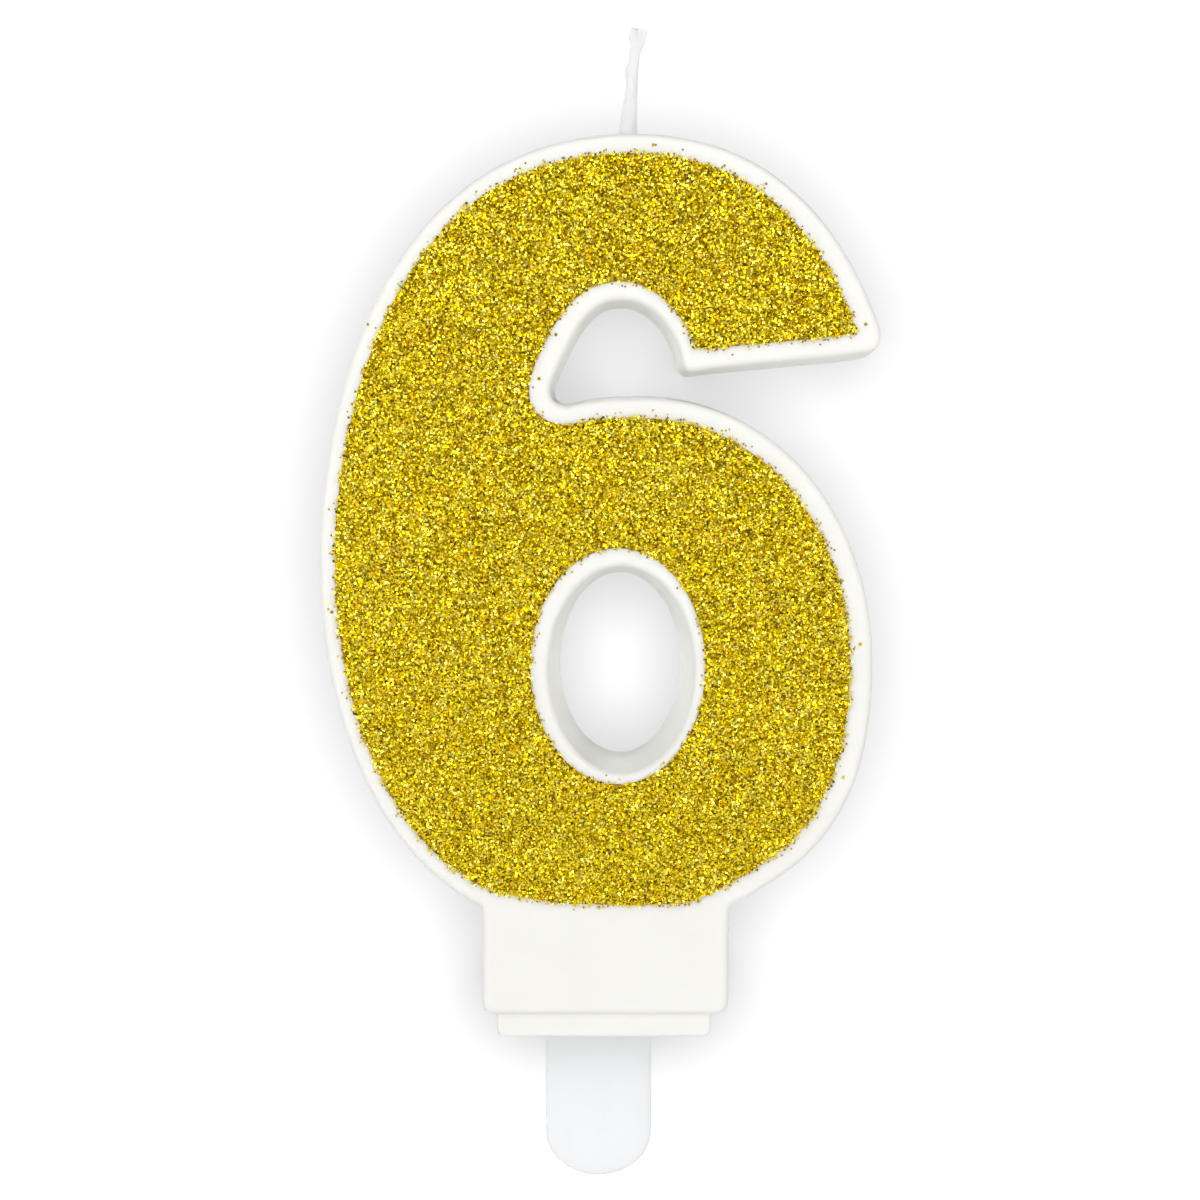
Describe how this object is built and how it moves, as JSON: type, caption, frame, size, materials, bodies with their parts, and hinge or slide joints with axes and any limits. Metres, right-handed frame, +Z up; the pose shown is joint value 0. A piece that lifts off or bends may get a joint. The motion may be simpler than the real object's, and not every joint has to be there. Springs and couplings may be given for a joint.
{
  "type": "number birthday candle",
  "caption": "Moulded wax candle in the shape of a six with a glitter face, a twisted cotton wick and a flat plastic pick pushed into its foot.",
  "frame": {"origin": "on the pick's centre line, at the underside of the wax foot, half way through the candle's thickness", "axes": "+Z up along the candle from the pick to the wick, front glitter face towards -Y, +X to the right seen from the front"},
  "size_m": [0.044, 0.0114, 0.0903],
  "materials": {
    "wax": "smooth translucent paraffin wax, off-white",
    "glue": "thin clear adhesive tinted by the glitter",
    "glitter": "metallised gold flakes lying at random angles",
    "cotton": "twisted undyed cotton",
    "wick_wax": "thin wax skin",
    "pick_plastic": "satin translucent white polypropylene"
  },
  "bodies": {
    "pick": {"cake_pick": "pick_plastic"},
    "candle": {"wax_body": "wax", "glue_film": "glue", "glitter_coat": "glitter", "stray_flakes": "glitter", "wick_ply_a": "cotton", "wick_ply_b": "cotton", "wick_ply_c": "cotton", "wick_wax_skin": "wick_wax"}
  },
  "joints": [
    {"name": "candle_lift", "type": "slide", "parent": "pick", "child": "candle", "axis": [0, 0, 1], "range_m": [0, 0.0135]}
  ]
}
